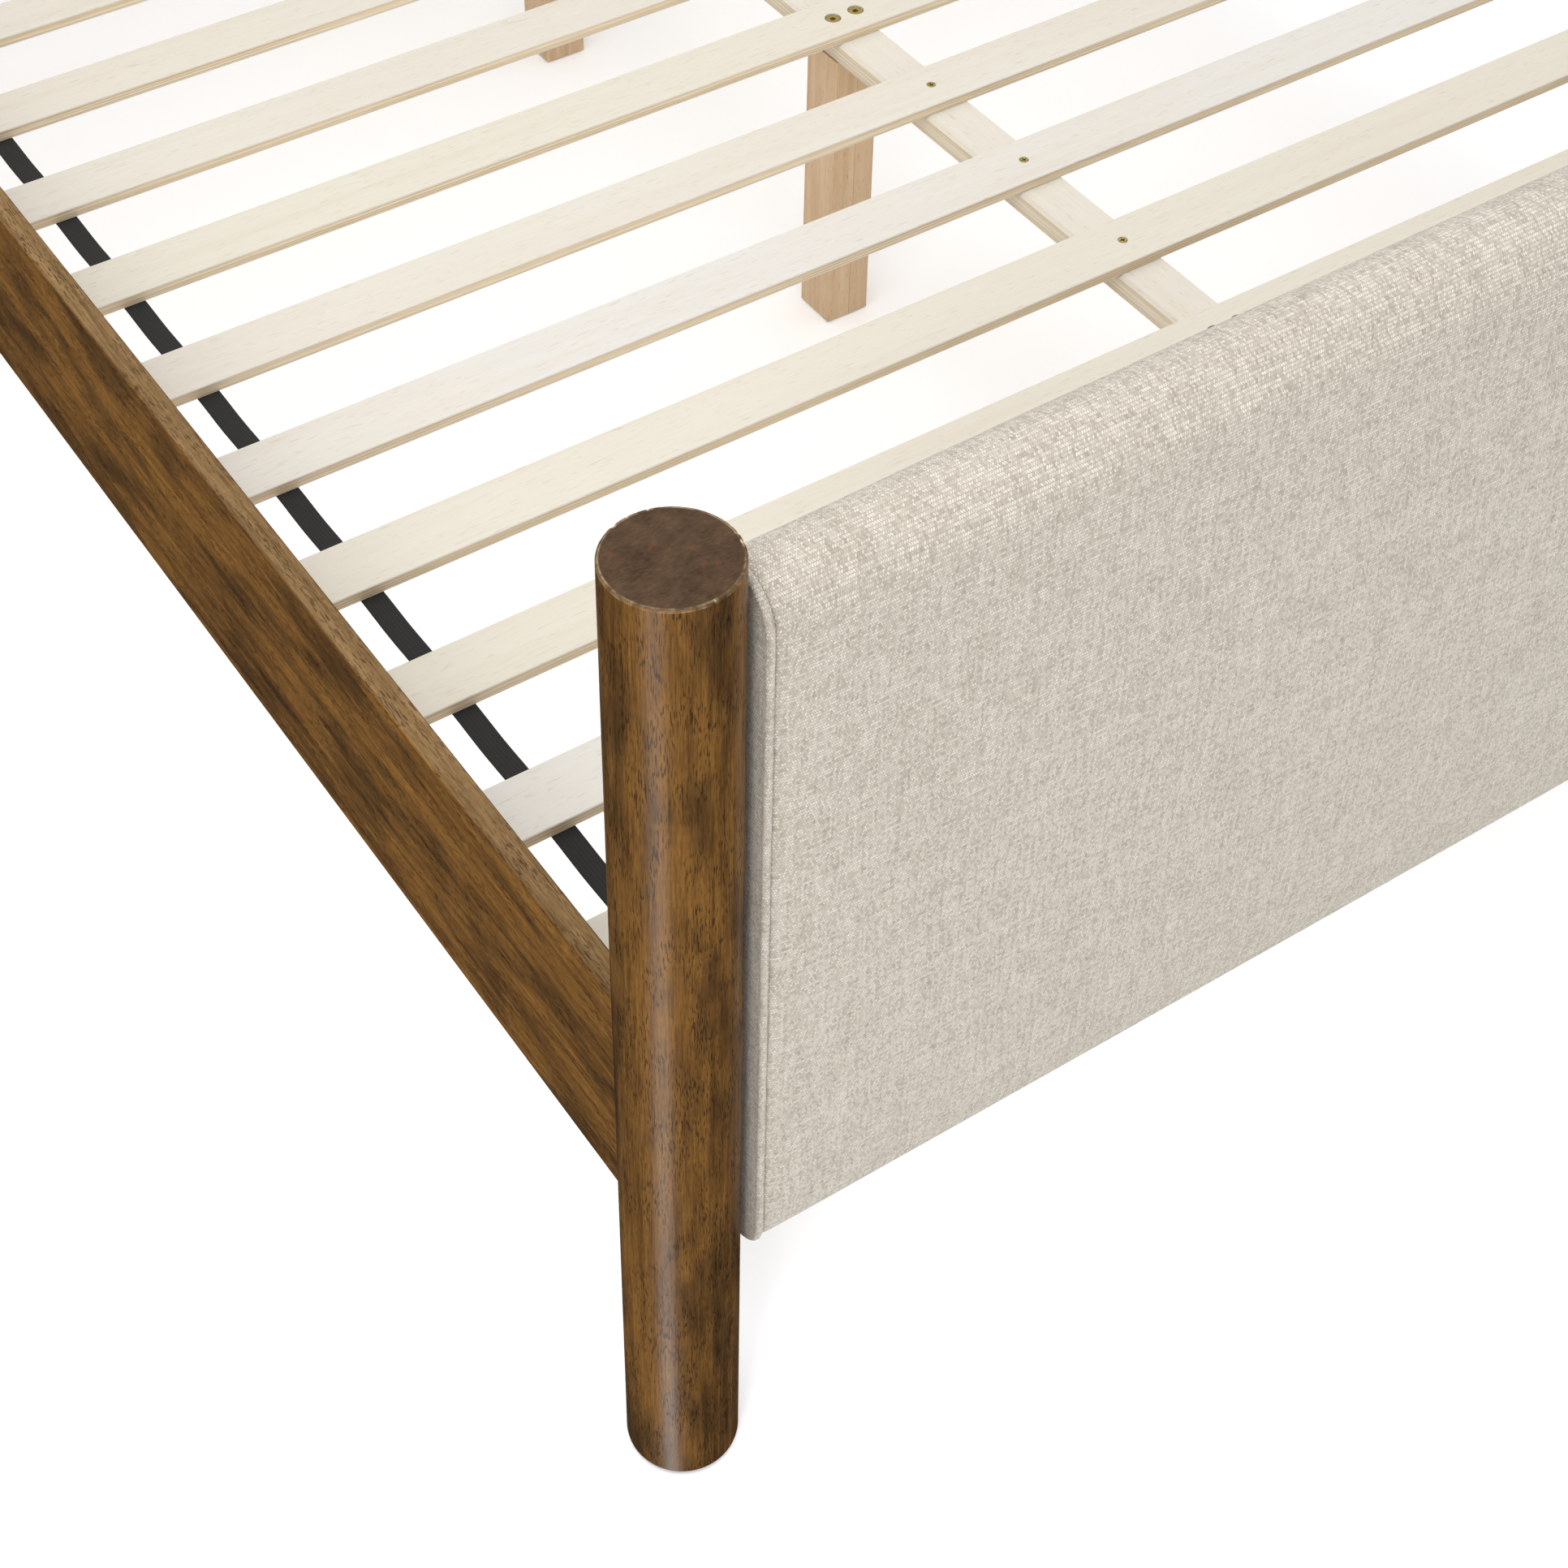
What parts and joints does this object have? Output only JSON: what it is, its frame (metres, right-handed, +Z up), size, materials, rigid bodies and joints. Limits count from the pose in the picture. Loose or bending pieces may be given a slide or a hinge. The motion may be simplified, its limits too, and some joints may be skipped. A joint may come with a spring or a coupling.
{
  "type": "sleigh bed",
  "caption": "Queen platform bed with round posts, upholstered end panels with rounded tops, plank side rails and a strapped slat deck on a centre beam with legs.",
  "frame": {"origin": "on the floor at the middle of the bed's outline", "axes": "+X across the bed to the right seen from the foot, +Y from the foot panel to the head panel, +Z up"},
  "size_m": [1.634, 2.1829, 1.2],
  "materials": {
    "walnut_stain": "satin walnut stain over open-pored hardwood",
    "slat_wood": "unfinished pale laminated veneer, planed",
    "leg_wood": "unfinished glued hardwood, planed",
    "frame_timber": "rough planed softwood",
    "plywood": "plywood",
    "webbing": "black woven herringbone webbing",
    "oatmeal_fabric": "oatmeal linen-look basket weave",
    "foam": "upholstery foam",
    "zinc_yellow": "yellow zinc plate",
    "zinc_steel": "bright zinc plate",
    "black_steel": "black powder coat",
    "glide_plastic": "dark nylon"
  },
  "bodies": {
    "root": {"foot_post_left": "walnut_stain", "foot_post_right": "walnut_stain", "head_post_left": "walnut_stain", "head_post_right": "walnut_stain", "side_rail_left": "walnut_stain", "side_rail_right": "walnut_stain", "ledger_left": "frame_timber", "ledger_right": "frame_timber", "slat_01": "slat_wood", "slat_02": "slat_wood", "slat_03": "slat_wood", "slat_04": "slat_wood", "slat_05": "slat_wood", "slat_06": "slat_wood", "slat_07": "slat_wood", "slat_08": "slat_wood", "slat_09": "slat_wood", "slat_10": "slat_wood", "slat_11": "slat_wood", "slat_12": "slat_wood", "slat_13": "slat_wood", "slat_14": "slat_wood", "slat_15": "slat_wood", "strap_left": "webbing", "strap_right": "webbing", "strap_staples": "zinc_steel", "slat_screws": "zinc_yellow", "centre_beam": "slat_wood", "centre_leg_1": "leg_wood", "centre_leg_2": "leg_wood", "centre_leg_3": "leg_wood", "leg_bolts": "zinc_yellow", "leg_inserts": "zinc_yellow", "foot_beam_bracket": "black_steel", "head_beam_bracket": "black_steel", "bracket_screws": "zinc_yellow", "foot_stile_left": "frame_timber", "foot_stile_right": "frame_timber", "foot_top_rail": "frame_timber", "foot_bottom_rail": "frame_timber", "foot_stud": "frame_timber", "foot_plywood": "plywood", "foot_foam": "foam", "foot_cover": "oatmeal_fabric", "foot_side_bands": "oatmeal_fabric", "head_stile_left": "frame_timber", "head_stile_right": "frame_timber", "head_top_rail": "frame_timber", "head_bottom_rail": "frame_timber", "head_stud": "frame_timber", "head_plywood": "plywood", "head_foam": "foam", "head_cover": "oatmeal_fabric", "head_side_bands": "oatmeal_fabric", "panel_bolts": "zinc_steel", "rail_bolts": "zinc_steel", "rail_washers": "zinc_steel", "rail_nuts": "zinc_steel", "ledger_screws": "zinc_yellow", "floor_glides": "glide_plastic"}
  },
  "joints": []
}
